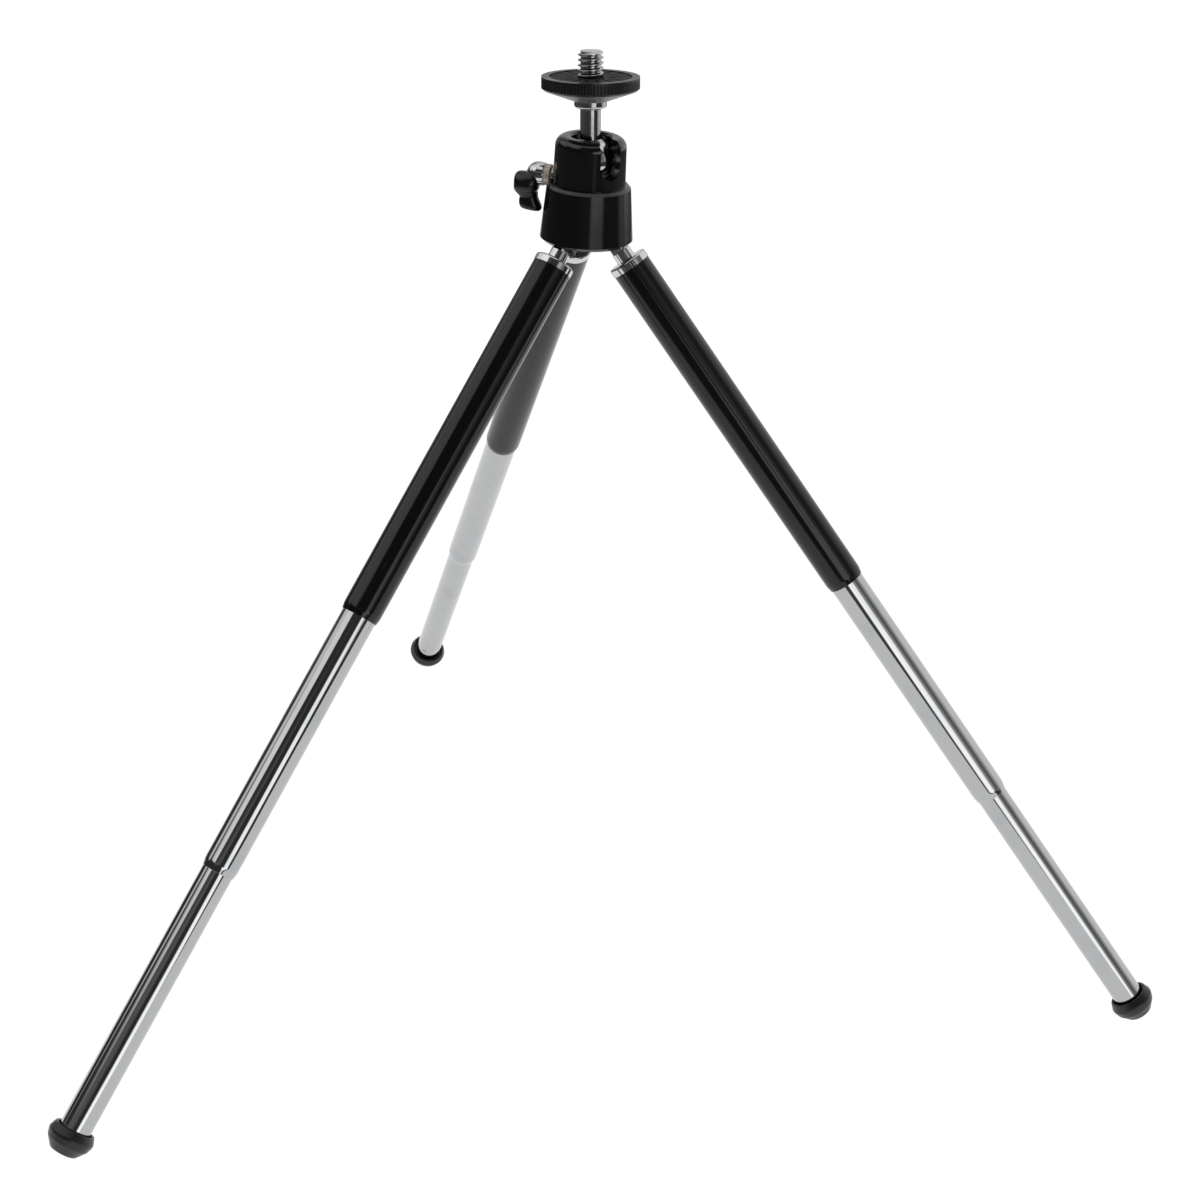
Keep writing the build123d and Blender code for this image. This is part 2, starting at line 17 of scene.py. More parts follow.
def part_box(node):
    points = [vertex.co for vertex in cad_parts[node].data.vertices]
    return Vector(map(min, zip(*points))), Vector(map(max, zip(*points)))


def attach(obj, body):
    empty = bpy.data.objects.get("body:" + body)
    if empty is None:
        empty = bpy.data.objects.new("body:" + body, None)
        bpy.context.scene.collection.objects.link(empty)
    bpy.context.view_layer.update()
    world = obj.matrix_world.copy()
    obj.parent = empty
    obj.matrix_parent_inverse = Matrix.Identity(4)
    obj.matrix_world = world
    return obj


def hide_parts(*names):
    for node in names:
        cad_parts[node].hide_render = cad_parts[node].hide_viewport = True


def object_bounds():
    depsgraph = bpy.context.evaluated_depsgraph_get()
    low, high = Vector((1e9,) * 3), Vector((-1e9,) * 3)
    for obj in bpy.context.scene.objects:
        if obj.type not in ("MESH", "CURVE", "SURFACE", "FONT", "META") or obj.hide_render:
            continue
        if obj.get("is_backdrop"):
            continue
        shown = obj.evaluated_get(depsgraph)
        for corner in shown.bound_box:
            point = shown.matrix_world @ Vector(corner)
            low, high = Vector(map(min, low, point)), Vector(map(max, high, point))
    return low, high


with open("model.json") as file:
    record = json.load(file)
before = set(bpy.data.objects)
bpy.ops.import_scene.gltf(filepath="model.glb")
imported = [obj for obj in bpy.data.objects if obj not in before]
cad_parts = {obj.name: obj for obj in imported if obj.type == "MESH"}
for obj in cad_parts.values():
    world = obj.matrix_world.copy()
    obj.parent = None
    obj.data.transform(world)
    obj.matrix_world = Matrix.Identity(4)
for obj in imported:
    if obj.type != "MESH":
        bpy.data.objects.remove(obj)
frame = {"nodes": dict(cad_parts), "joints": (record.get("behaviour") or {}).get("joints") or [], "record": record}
cad_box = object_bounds()
nodes = frame["nodes"]
joints = {joint["name"]: joint for joint in frame["joints"]}
mm = 0.001
legs = ("left", "right", "rear")

# %% [markdown]
# ## The camera
#
# A long lens stands about 65 cm away and looks down at the tripod, so the
# three legs open like a fan. The camera can be placed by turning it by hand, or by saying
# where it aims, from which direction and how far away. The second is used, because each
# number then means something. A small roll remains from the way the camera was held.

# %% Place the camera
aim = Vector((8.44, -2.68, 99.84)) * mm
camera_distance = 651.3 * mm
camera_azimuth = math.radians(-17.59)   # from the -Y side towards +X
camera_elevation = math.radians(24.58)
camera_roll = math.radians(3.36)

back = Vector((
    math.sin(camera_azimuth) * math.cos(camera_elevation),
    -math.cos(camera_azimuth) * math.cos(camera_elevation),
    math.sin(camera_elevation),
))
level_right = Vector((0, 0, 1)).cross(back).normalized()
right = Matrix.Rotation(camera_roll, 3, back) @ level_right
facing = Matrix((right, back.cross(right), back)).transposed().to_4x4()

lens = bpy.data.cameras.new("long_lens")
lens.lens = 72.40
lens.sensor_width = 36.0
lens.clip_start = 0.01
lens.clip_end = 20.0
camera = bpy.data.objects.new("camera", lens)
camera.matrix_world = Matrix.Translation(aim + back * camera_distance) @ facing
bpy.context.scene.collection.objects.link(camera)
bpy.context.scene.camera = camera
bpy.context.scene.view_settings.view_transform = "Standard"
print("camera at", [round(x / mm, 1) for x in camera.location])

# %% [markdown]
# ## Shader maths as Python
#
# A finish is a small program: noise turned into roughness, bumps and stains. Wired by hand
# it becomes a web of boxes that is hard to read. Here one class wraps a node's output, so
# that `0.2 + 0.1 * grain` adds the Math nodes by itself, and one method makes every other
# node: its settings are set first, and then its sockets get values or links.

# %% A socket that does arithmetic
class Reading:
    """One output socket. +, - and * on it add a Math node each."""

    def __init__(self, finish, socket):
        self.finish = finish
        self.socket = socket

    def math(self, operation, *others):
        inputs = dict(enumerate((self, *others)))
        return self.finish.node("ShaderNodeMath", {"operation": operation}, inputs)

    def __add__(self, other):
        return self.math("ADD", other)

    def __radd__(self, other):
        return self.math("ADD", other)

    def __sub__(self, other):
        return self.math("SUBTRACT", other)

    def __rsub__(self, other):
        return self.finish.node("ShaderNodeMath", {"operation": "SUBTRACT"}, {0: other, 1: self})

    def __mul__(self, other):
        return self.math("MULTIPLY", other)

    def __rmul__(self, other):
        return self.math("MULTIPLY", other)

    def between(self, low, high):
        """0 below low, 1 above high, and a smooth step in between."""
        settings = {"interpolation_type": "SMOOTHSTEP"}
        return self.finish.node("ShaderNodeMapRange", settings, {0: self, 1: low, 2: high})


# %% A finish: a material, or the light round the set, and the way to write it
class Finish:
    """A node tree, one method that makes its nodes, and the patterns the finishes share."""

    def __init__(self, owner):
        owner.use_nodes = True
        self.tree = owner.node_tree

    def node(self, kind, settings=None, inputs=None, output=0):
        made = self.tree.nodes.new(kind)
        for name, value in (settings or {}).items():
            setattr(made, name, value)
        for name, value in (inputs or {}).items():
            self.feed(made.inputs[name], value)
        return Reading(self, made.outputs[output])

    def feed(self, socket, value):
        if isinstance(value, Reading):
            self.tree.links.new(value.socket, socket)
        else:
            socket.default_value = value

    def place(self, source="object"):
        """Where a point is: in the model's frame, or in a turned piece's own upright frame."""
        if source == "object":
            return self.node("ShaderNodeTexCoord", output="Object")
        return self.node("ShaderNodeAttribute", {"attribute_name": source}, output="Vector")

    def noise(self, place, per_metre, detail=3.0, roughness=0.55, stretch=(1, 1, 1)):
        """Soft random values round 0.5, with so many lumps to the metre. A small stretch
        factor along an axis draws the lumps out along it."""
        multiply = {"operation": "MULTIPLY"}
        inputs = {
            "Vector": self.node("ShaderNodeVectorMath", multiply, {0: place, 1: stretch}),
            "Scale": per_metre,
            "Detail": detail,
            "Roughness": roughness,
        }
        return self.node("ShaderNodeTexNoise", None, inputs, output="Fac")

    def mix(self, amount, first, second):
        """The first colour where the amount is 0, and the second where it is 1."""
        inputs = {0: amount, 6: first, 7: second}
        return self.node("ShaderNodeMix", {"data_type": "RGBA"}, inputs, output=2)

    def bump(self, height, depth):
        """Bumps as high as depth, in metres, where the pattern goes from 0 to 1."""
        inputs = {"Height": height, "Distance": depth, "Strength": 1.0}
        return self.node("ShaderNodeBump", None, inputs, output="Normal")


finishes = {}


def finish(name, constants, **varying):
    """Material of that name. Constants go straight on its shader's sockets. Each varying
    socket is a function of the finish that returns what feeds it."""
    material = bpy.data.materials.new(name)
    made = Finish(material)
    shader = made.tree.nodes["Principled BSDF"]
    for socket, value in constants.items():
        shader.inputs[socket].default_value = value
    for socket, recipe in varying.items():
        made.feed(shader.inputs[socket.replace("_", " ")], recipe(made))
    finishes[name] = material
    print("finish", name, "nodes", len(made.tree.nodes))


def grey(level, warmth=0.0):
    """A neutral colour, a little warm or cool."""
    return (level * (1 + warmth), level, level * (1 - warmth), 1.0)


def gloss(level):
    """How strongly a surface that isn't metal reflects head on: 0.5 is common plastic."""
    return {"Specular IOR Level": level}


# %% [markdown]
# ## Chrome tubes
#
# The two thin sections of each leg are drawn steel tube with bright chrome plate. Real chrome
# reflects little more than half of the light, so it looks grey beside a white floor, and
# this thin plate is set a little darker still. It isn't a perfect mirror either: sliding
# in and out leaves faint lines along the tube, and fingers leave cloudy patches. Both
# change how sharp the reflections are, and the lines also bend them a little. The lines
# have to follow the tube, so they read the tube's own upright frame, which every turned
# piece carries as the attribute "turned".

# %% Chrome plate on drawn tube
def drawn_lines(made):
    """Lines along the tube: noise squeezed hard across it and stretched along it."""
    return made.noise(made.place("turned"), 2600.0, 2.0, stretch=(1, 1, 0.012))


def handling(made):
    """Cloudy patches a centimetre or two across."""
    return made.noise(made.place("turned"), 90.0, 4.0, 0.6).between(0.45, 0.72)


finish(
    "tube_chrome",
    {"Metallic": 1.0},
    Base_Color=lambda made: made.mix(
        handling(made), grey(0.455, -0.012), grey(0.455 * 0.93, -0.032)
    ),
    Roughness=lambda made: 0.035 + 0.05 * drawn_lines(made) + 0.04 * handling(made),
    Normal=lambda made: made.bump(drawn_lines(made), 0.004 * mm),
)

# %% [markdown]
# ## Chrome on the head and on the caps
#
# The chrome parts of the head and the caps were polished all round before they were plated,
# so they have no lines along them, only a softly uneven polish and some smudges. The pattern
# reads the model's frame.

# %% Polished chrome
def polish(made):
    return made.noise(made.place(), 700.0, 3.0)


def smudges(made):
    return made.noise(made.place(), 160.0, 4.0).between(0.5, 0.75)


for name, level in (("head_chrome", 0.56), ("cap_chrome", 0.60)):
    finish(
        name,
        {"Metallic": 1.0},
        Base_Color=lambda made, level=level: made.mix(
            smudges(made), grey(level, 0.005), grey(level * 0.9, 0.02)
        ),
        Roughness=lambda made: 0.045 + 0.05 * polish(made) + 0.08 * smudges(made),
        Normal=lambda made: made.bump(polish(made), 0.006 * mm),
    )

# %% [markdown]
# ## Black enamel on the sleeves
#
# The outer tube of a leg is sprayed and baked. The enamel flows out almost flat and keeps a
# faint orange-peel ripple, which makes its reflections waver. Handling leaves hair scratches
# along the tube. A clear coat in the shader could do this too, but black enamel is a single
# glossy layer, so the plain specular layer is closer. It mirrors less than the housing does.

# %% Black enamel
def peel(made):
    return made.noise(made.place("turned"), 420.0, 2.0, stretch=(1, 1, 0.5))


def hair_scratches(made):
    lines = made.noise(made.place("turned"), 3200.0, 3.0, stretch=(1, 1, 0.02))
    return lines.between(0.62, 0.72) * handling(made)


finish(
    "tube_black",
    gloss(0.37),
    Base_Color=lambda made: made.mix(hair_scratches(made), grey(0.0055, -0.05), grey(0.03)),
    Roughness=lambda made: 0.10 + 0.05 * peel(made) + 0.15 * hair_scratches(made),
    Normal=lambda made: made.bump(peel(made), 0.004 * mm),
)

# %% [markdown]
# ## Moulded black housing
#
# The skirt and the cup are glossy black plastic. A polished mould gives a surface flatter
# than paint, with a slow waviness where the plastic shrank as it cooled, and patches of fine
# rub marks that run up and down.

# %% Gloss black plastic
def shrinkage(made):
    return made.noise(made.place(), 130.0, 1.0)


def rub_marks(made):
    lines = made.noise(made.place(), 1500.0, 4.0, 0.7, stretch=(1, 1, 0.15))
    return lines.between(0.6, 0.75) * made.noise(made.place(), 60.0, 2.0).between(0.4, 0.7)


finish(
    "housing_black",
    gloss(0.5),
    Base_Color=lambda made: made.mix(rub_marks(made), grey(0.0065, -0.04), grey(0.028)),
    Roughness=lambda made: 0.10 + 0.05 * shrinkage(made) + 0.20 * rub_marks(made),
    Normal=lambda made: made.bump(shrinkage(made), 0.02 * mm),
)

# %% [markdown]
# ## Satin black: the platform, the knob and the hidden block
#
# These satin blacks differ in grain. The platform is powder coated, so its grain is fine and
# regular. The grip comes from a spark-eroded mould, whose texture is coarser, and the block
# inside is as it was cast. The colour, the roughness and the bumps of each share one grain,
# and a slower pattern says where fingers have polished it.

# %% Satin blacks
def grained(per_metre, depth, level, rough, spread, lift):
    """Recipes of a grained surface. Grains to the metre and their height in mm, the colour's
    level, the roughness and its spread over the grain, and how much paler the grain gets."""
    def grain(made):
        return made.noise(made.place(), per_metre, 3.0, 0.6)

    def worn(made):
        return made.noise(made.place(), 140.0, 3.0).between(0.5, 0.8)

    return {
        "Base_Color": lambda made: made.mix(
            grain(made).between(0.45, 0.8), grey(level), grey(level * lift)
        ),
        "Roughness": lambda made: rough + spread * grain(made) - 0.08 * worn(made),
        "Normal": lambda made: made.bump(grain(made), depth * mm),
    }


finish("platform_black", gloss(0.45), **grained(5200, 0.016, 0.008, 0.25, 0.16, 2.0))
finish("knob_black", gloss(0.42), **grained(3400, 0.016, 0.006, 0.19, 0.16, 2.0))
finish("block_black", gloss(0.40), **grained(2600, 0.030, 0.012, 0.40, 0.20, 1.8))

# %% [markdown]
# ## Rubber, nylon and bare metal
#
# The rubber of the feet is smooth and has a slight sheen, and that of the pad is duller. The
# nylon of the seat and the bushes is milky. The knurled screw has a warm nickel plate with
# tarnish in it, and the hinge pins and the base screw are zinc plated.

# %% Rubber, nylon, nickel and zinc
finish("foot_rubber", gloss(0.45), **grained(4200, 0.006, 0.0065, 0.30, 0.14, 1.6))
finish("pad_rubber", gloss(0.30), **grained(6000, 0.025, 0.012, 0.52, 0.25, 2.4))
finish("seat_nylon", gloss(0.50), **grained(900, 0.020, 0.62, 0.35, 0.20, 1.08))


def tarnish(made):
    return made.noise(made.place(), 1800.0, 4.0, 0.65)


for name, level, warmth, rough in (
    ("knurled_nickel", 0.62, 0.10, 0.16), ("steel", 0.50, 0.01, 0.28)
):
    finish(
        name,
        {"Metallic": 1.0},
        Base_Color=lambda made, level=level, warmth=warmth: made.mix(
            tarnish(made).between(0.35, 0.8), grey(level, warmth), grey(level * 0.6, warmth * 1.4)
        ),
        Roughness=lambda made, rough=rough: rough + 0.18 * tarnish(made),
        Normal=lambda made: made.bump(tarnish(made), 0.008 * mm),
    )

# %% [markdown]
# ## Every engineering part gets its finish
#
# The model's record says which finish each node takes. A node that stays as it is only gets
# the material in its slot; its mesh isn't touched.

# %% Dress the nodes
slot_of = {part["node"]: part["material_slot"] for part in frame["record"]["subparts"]}
for name, obj in nodes.items():
    obj.data.materials.clear()
    obj.data.materials.append(finishes[slot_of[name]])
body_of = {
    name: body
    for body, names in frame["record"]["behaviour"]["bodies"].items()
    for name in names
}
print("dressed", len(slot_of))

# %% [markdown]
# ## Surfaces from arrays
#
# The new pieces are grids of points worked out with numpy: a shape is a function of two
# parameters, here the place on a profile and the turn round an axis. A modifier such as
# Screw could turn a profile too, but an array can also carry a thread, a knurl or a dent,
# because the radius may depend on both parameters.

# %% Grids of points become meshes
UP = np.array([0.0, 0.0, 1.0])


def enclosed(points, faces):
    """Six times the volume that faces with these corners enclose, negative if they point
    inwards: the sum of a . (b x c) over the triangles that each face is cut into."""
    corners = points[faces]
    return sum(
        np.einsum("ij,ij->i", corners[:, 0], np.cross(corners[:, k], corners[:, k + 1])).sum()
        for k in range(1, faces.shape[1] - 1)
    )


def grid_piece(name, grid, own, node, wrap_rows):
    """Piece in place of a node, from a (rows, columns, 3) grid whose columns close on
    themselves. Its rows close too, as round a tube's wall, or a fan closes each end. own is
    the same grid in the piece's upright frame, kept as the attribute "turned". The faces
    are reversed if they point inwards."""
    rows, columns = grid.shape[:2]
    number = np.arange(rows * columns).reshape(rows, columns)
    upper = np.roll(number, -1, axis=0) if wrap_rows else number[1:]
    lower = number if wrap_rows else number[:-1]
    quads = np.stack(
        [lower, np.roll(lower, -1, axis=1), np.roll(upper, -1, axis=1), upper], axis=-1
    ).reshape(-1, 4)
    points = grid.reshape(-1, 3)
    place = own.reshape(-1, 3)
    caps = np.zeros((0, 3), int)
    if not wrap_rows:
        middles = np.stack([grid[0].mean(0), grid[-1].mean(0)])
        own_middles = np.stack([own[0].mean(0), own[-1].mean(0)])
        start, end = len(points), len(points) + 1
        points = np.vstack([points, middles])
        place = np.vstack([place, own_middles])
        ring, other = number[0], number[-1]
        fan = np.stack([np.full(columns, start), np.roll(ring, -1), ring], axis=-1)
        far_fan = np.stack([np.full(columns, end), other, np.roll(other, -1)], axis=-1)
        caps = np.vstack([fan, far_fan])
    if enclosed(points, quads) + enclosed(points, caps) < 0:
        quads, caps = quads[:, ::-1], caps[:, ::-1]
    mesh = bpy.data.meshes.new(name)
    mesh.from_pydata(points.tolist(), [], quads.tolist() + caps.tolist())
    mesh.polygons.foreach_set("use_smooth", np.ones(len(mesh.polygons), bool))
    turned = mesh.attributes.new("turned", "FLOAT_VECTOR", "POINT")
    turned.data.foreach_set("vector", place.astype(np.float32).ravel())
    mesh.materials.append(finishes[slot_of[node]])
    mesh.update()
    piece = bpy.data.objects.new(name, mesh)
    bpy.context.scene.collection.objects.link(piece)
    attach(piece, body_of[node])
    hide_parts(node)
    print(name, "points", len(points), "faces", len(mesh.polygons))


class Spindle:
    """An axis that pieces are turned round. Turns are counted from its upper side."""

    def __init__(self, origin, axis):
        self.origin = np.array(origin, float)
        self.axis = np.array(axis, float) / np.linalg.norm(axis)
        side = UP - self.axis * self.axis[2]
        self.side = side / np.linalg.norm(side)
        self.across = np.cross(self.axis, self.side)

    def reach(self, node):
        """Lowest and highest distance along the axis and largest radius of a node."""
        mesh = nodes[node].data
        points = np.zeros(len(mesh.vertices) * 3)
        mesh.vertices.foreach_get("co", points)
        points = points.reshape(-1, 3) - self.origin
        along = points @ self.axis
        radius = np.linalg.norm(points - along[:, None] * self.axis, axis=1)
        return along.min(), along.max(), radius.max()

    def grid(self, radius, distance, turn):
        """Points at radius, distance along the axis and turn round it, and the same points
        in the upright frame, where the axis is Z: (r cos t, r sin t, d)."""
        own = np.stack(
            [radius * np.cos(turn), radius * np.sin(turn), distance + 0 * turn], axis=-1
        )
        basis = np.stack([self.side, self.across, self.axis])
        return self.origin + own @ basis, own


def rounded(corners, rounds, steps=5, closed=True):
    """A profile of (radius, distance) corners with its corners rounded off, each by its own
    size but by no more than a share of its shorter edge. Each becomes a parabola between
    two points on its edges: (1-s)^2 a + 2 s (1-s) corner + s^2 b. A support point before
    and after it keeps the flat stretches flat. An open profile loses its end corners'
    rounding."""
    most, support, tiny = 0.3, 1.6, 1e-12
    corners = np.array(corners, float)
    before = np.roll(corners, 1, axis=0) - corners
    after = np.roll(corners, -1, axis=0) - corners
    shortest = np.minimum(np.linalg.norm(before, axis=1), np.linalg.norm(after, axis=1))
    size = np.minimum(rounds, most * shortest)[:, None]
    before /= np.maximum(np.linalg.norm(before, axis=1), tiny)[:, None]
    after /= np.maximum(np.linalg.norm(after, axis=1), tiny)[:, None]
    start, end = corners + before * size, corners + after * size
    s = np.linspace(0, 1, steps)[None, :, None]
    curve = (
        (1 - s) ** 2 * start[:, None] + 2 * s * (1 - s) * corners[:, None] + s**2 * end[:, None]
    )
    first = (corners + support * before * size)[:, None]
    last = (corners + support * after * size)[:, None]
    outline = np.concatenate([first, curve, last], axis=1).reshape(-1, 2)
    if not closed:
        outline = outline[steps + 1:-(steps + 1)]
    step = np.linalg.norm(np.diff(outline, axis=0, prepend=outline[:1] - 1), axis=1)
    return outline[step > 1e-4 * mm]


def turned_piece(name, node, spindle, profile, columns=96, wrap=True, change=None):
    """Piece of revolution: its radius is the profile's, plus change(radius, distance, turn).
    A profile that wraps is closed by itself, and another one runs from end to end."""
    turn = np.arange(columns)[None, :] * 2 * np.pi / columns
    radius, distance = (profile[:, k:k + 1] + 0 * turn for k in (0, 1))
    if change is not None:
        radius = radius + change(radius, distance, turn)
    grid, own = spindle.grid(radius, distance, turn)
    grid_piece(name, grid, own, node, wrap)


# %% [markdown]
# ## The legs: three drawn tubes in one another
#
# Each section ends in a rolled lip: the tube is spun in over a short length so that the next
# one can't fall out, and it narrows to a soft shoulder. The lip is what catches the light
# where two sections meet, so it is rounded off, not left as a sharp edge. The lowest tube
# is straight, with a small mark punched into it just above the foot.

# %% Sleeves, middle tubes and lower tubes
def tube_profile(start, end, outer, wall, mouth):
    """Closed section of a tube's wall that tapers and rolls in to its mouth's radius."""
    bore = outer - wall
    taper, drop = 1.6 * mm, 0.28 * mm       # on the outside
    lip, step = 2.0 * mm, 0.12 * mm         # on the inside
    corners = [
        (bore, start), (outer, start), (outer, end - taper), (outer - drop, end),
        (mouth, end), (mouth, end - lip), (bore, end - lip - step),
    ]
    edge, shoulder, brim = 0.1, 0.9, 0.16
    return rounded(corners, np.array([edge, edge, shoulder, brim, edge, edge, edge]) * mm)


def plain_tube_profile(start, end, outer, wall, dent):
    """Closed section of a straight tube's wall, with extra rows outside round the dent."""
    bore = outer - wall
    profile = rounded([(bore, start), (outer, start), (outer, end), (bore, end)], 0.1 * mm)
    rows, half = 25, 1.2 * mm
    near_dent = np.column_stack([
        np.full(rows, outer), np.linspace(dent - half, dent + half, rows)
    ])
    before = int(np.argmax(profile[:, 1] > end - 1 * mm))
    return np.vstack([profile[:before], near_dent, profile[before:]])


def crimp(outer, centre, at_turn):
    """Mark punched in a tube's outside: depth exp(-(distance / size)^4), measured on it."""
    size, depth, skin = 0.75 * mm, 0.14 * mm, 0.05 * mm

    def change(radius, distance, turn):
        aside = (np.mod(turn - at_turn + np.pi, 2 * np.pi) - np.pi) * radius
        far = ((distance - centre) ** 2 + aside**2) / size**2
        return np.where(radius > outer - skin, -depth * np.exp(-far**2), 0)
    return change


mouth_play = 0.04 * mm                  # between a mouth and the tube in it
foot_to_crimp = 2.2 * mm
crimp_turn = math.radians(221.4)
walls = {"sleeve": 0.40 * mm, "middle_tube": 0.36 * mm, "lower_tube": 0.35 * mm}
spindles = {}
for leg in legs:
    down = -np.array(joints[f"{leg}_middle_slide"]["axis"])
    spindle = Spindle(joints[f"{leg}_fold"]["pos_m"], down)
    spindles[leg] = spindle
    reach = {part: spindle.reach(f"{leg}_{part}") for part in walls}
    for part, inner in (("sleeve", "middle_tube"), ("middle_tube", "lower_tube")):
        profile = tube_profile(*reach[part], walls[part], reach[inner][2] + mouth_play)
        turned_piece(f"{leg}_{part}_drawn", f"{leg}_{part}", spindle, profile)
    outer = reach["lower_tube"][2]
    dent = spindle.reach(f"{leg}_foot")[0] - foot_to_crimp
    profile = plain_tube_profile(*reach["lower_tube"], walls["lower_tube"], dent)
    turned_piece(
        f"{leg}_lower_tube_drawn", f"{leg}_lower_tube", spindle, profile, 144,
        change=crimp(outer, dent, crimp_turn),
    )
    print(leg, "sleeve", [round(x / mm, 2) for x in reach["sleeve"]])

# %% [markdown]
# ## The feet
#
# A foot is a thick rubber cap pushed on the tube. It isn't a smooth dome: its lip stands off
# the tube and catches the light, a band runs round it, and below a crease it narrows in two
# slants to the spot that touches the ground. The profile follows those slants, and its
# corners are only slightly rounded, as rubber from a sharp mould is.

# %% Rubber feet
for leg in legs:
    socket, sole, widest = spindles[leg].reach(f"{leg}_foot")
    tube_radius = spindles[leg].reach(f"{leg}_lower_tube")[2]
    lip, crease = socket + 1.6 * mm, socket + 5.4 * mm
    groove = lip + 0.9 * mm             # between the lip and the tube
    corners = [
        (tube_radius - 0.1 * mm, groove), (tube_radius + 0.4 * mm, groove),
        (tube_radius + 0.55 * mm, lip), (widest - 0.75 * mm, lip - 0.1 * mm),
        (widest, lip + 1.7 * mm), (widest - 0.05 * mm, lip + 2.3 * mm),
        (widest - 0.55 * mm, crease), (widest - 0.80 * mm, crease + 0.3 * mm),
        (widest - 2.45 * mm, sole - 0.22 * mm), (widest - 3.60 * mm, sole + 0.05 * mm),
        (0.8 * mm, sole + 0.10 * mm),
    ]
    rounds = np.array([0.1, 0.1, 0.12, 0.22, 0.3, 0.2, 0.25, 0.15, 0.35, 0.3, 0.1]) * mm
    profile = rounded(corners, rounds, 6, closed=False)
    turned_piece(f"{leg}_foot_moulded", f"{leg}_foot", spindles[leg], profile, wrap=False)

# %% [markdown]
# ## The camera screw
#
# A camera is held by a quarter-inch screw with twenty threads to the inch. The model gives
# only its outside diameter. A real thread is a V wound round a core, with its crest and its
# root a little rounded by rolling, and it is the zigzag of its outline that tells the eye
# that this is a screw. The radius here depends on height and turn together, which makes the
# ridge climb by one pitch in each turn.

# %% The thread
def ridge(phase):
    """Triangle wave: 0 at whole numbers, 1 half way between them."""
    return 1 - np.abs(2 * np.mod(phase, 1) - 1)


stud_axis = Spindle(joints["head_spin"]["pos_m"], joints["head_spin"]["axis"])
screw_low, screw_high, screw_radius = stud_axis.reach("camera_screw")
pitch = 1.27 * mm
thread_depth = 0.68 * mm
threaded_length, thread_rows = 6.25 * mm, 190
thread_start = screw_high - threaded_length
chamfer = 0.5 * mm


def thread(radius, distance, turn):
    """Core + depth * V, never above the chamfer: V is a clipped triangle wave of
    height / pitch - turn / full turn."""
    root_flat, flank, run_in = 0.14, 0.70, 0.3 * mm
    wave = ridge((distance - thread_start) / pitch - turn / (2 * np.pi))
    crest = np.clip((wave - root_flat) / flank, 0, 1)
    crest = 0.5 * crest + 0.5 * crest**2 * (3 - 2 * crest)
    started = np.clip((distance - thread_start) / run_in, 0, 1)
    threaded = screw_radius - thread_depth * (1 - crest * started)
    return np.minimum(threaded, radius) - radius


rise = np.linspace(thread_start, screw_high, thread_rows)
envelope = screw_radius - np.maximum(rise - (screw_high - chamfer), 0)
neck, hair = screw_radius - thread_depth, 0.02 * mm
top_edge = screw_radius - chamfer
profile = np.vstack([
    [(neck - 0.03 * mm, screw_low), (neck, screw_low), (neck, screw_low + hair)],
    np.column_stack([envelope, rise]),
    [(top_edge - hair, screw_high), (top_edge - chamfer, screw_high)],
])
turned_piece(
    "camera_screw_threaded", "camera_screw", stud_axis, profile, 120, wrap=False, change=thread
)

# %% [markdown]
# ## The knurled collar
#
# The lock screw is turned by a knob, and behind it sits a knurled collar. Two sets of slanted
# grooves cross and leave rows of small pyramids. The height of the surface is the lower of
# two slanted ridges.

# %% The knurl
lock_axis = Spindle(joints["lock_turn"]["pos_m"], joints["lock_turn"]["axis"])
lock_low, lock_high, knurl_radius = lock_axis.reach("lock_screw")
collar_start, collar_end = -3.55 * mm, 0.05 * mm
shank, tip, collar_edge = 2.0 * mm, 1.4 * mm, 0.4 * mm
knurl_rows, knurl_pitch, knurl_depth = 22, 0.80 * mm, 0.17 * mm
facets_per_row, collar_rows = 12, 66


def knurl(radius, distance, turn):
    """Depth below the collar: 1 - min(ridge of one slant, ridge of the other), with the
    pyramids' tips cut flat."""
    around, along = knurl_rows * turn / (2 * np.pi), distance / knurl_pitch
    steep = 1.5
    pyramid = np.clip(steep * np.minimum(ridge(around + along), ridge(around - along)), 0, 1)
    return np.where(radius > knurl_radius - collar_edge, knurl_depth * (pyramid - 1), 0)


along = np.linspace(collar_start, collar_end, collar_rows)
fall = np.maximum(collar_edge - np.minimum(along - collar_start, collar_end - along), 0)
profile = np.vstack([
    [(shank / 2, lock_low), (shank, lock_low), (shank, collar_start - hair)],
    [(shank, collar_start), (knurl_radius - collar_edge - hair / 2, collar_start)],
    np.column_stack([knurl_radius - fall, along]),
    [(tip + hair / 2, collar_end), (tip, collar_end + hair / 2), (tip, lock_high)],
])
turned_piece(
    "lock_screw_knurled", "lock_screw", lock_axis, profile, knurl_rows * facets_per_row,
    wrap=False, change=knurl,
)

# %% [markdown]
# ## The knob's chrome core
#
# The core is a spun and polished dome that closes over the end of the collar. Only its top
# shows above the grip. A dome has no flat to sink into shadow, so it shines nearly white.

# %% The domed core
core_low, _, core_radius = lock_axis.reach("knob_core")
core_lip = 1.6 * mm
dome_corners = [
    (knurl_radius - 0.3 * mm, core_low - core_lip), (0.93 * core_radius, core_low - core_lip),
    (core_radius, core_low), (0.97 * core_radius, core_low + 1.0 * mm),
    (0.80 * core_radius, core_low + 1.9 * mm), (0.50 * core_radius, core_low + 2.7 * mm),
    (0.15 * core_radius, core_low + 3.1 * mm),
]
dome_rounds = np.array([0.1, 0.2, 0.9, 0.9, 0.8, 0.8, 0.1]) * mm
profile = rounded(dome_corners, dome_rounds, 6, closed=False)
turned_piece("knob_core_domed", "knob_core", lock_axis, profile, 80, wrap=False)

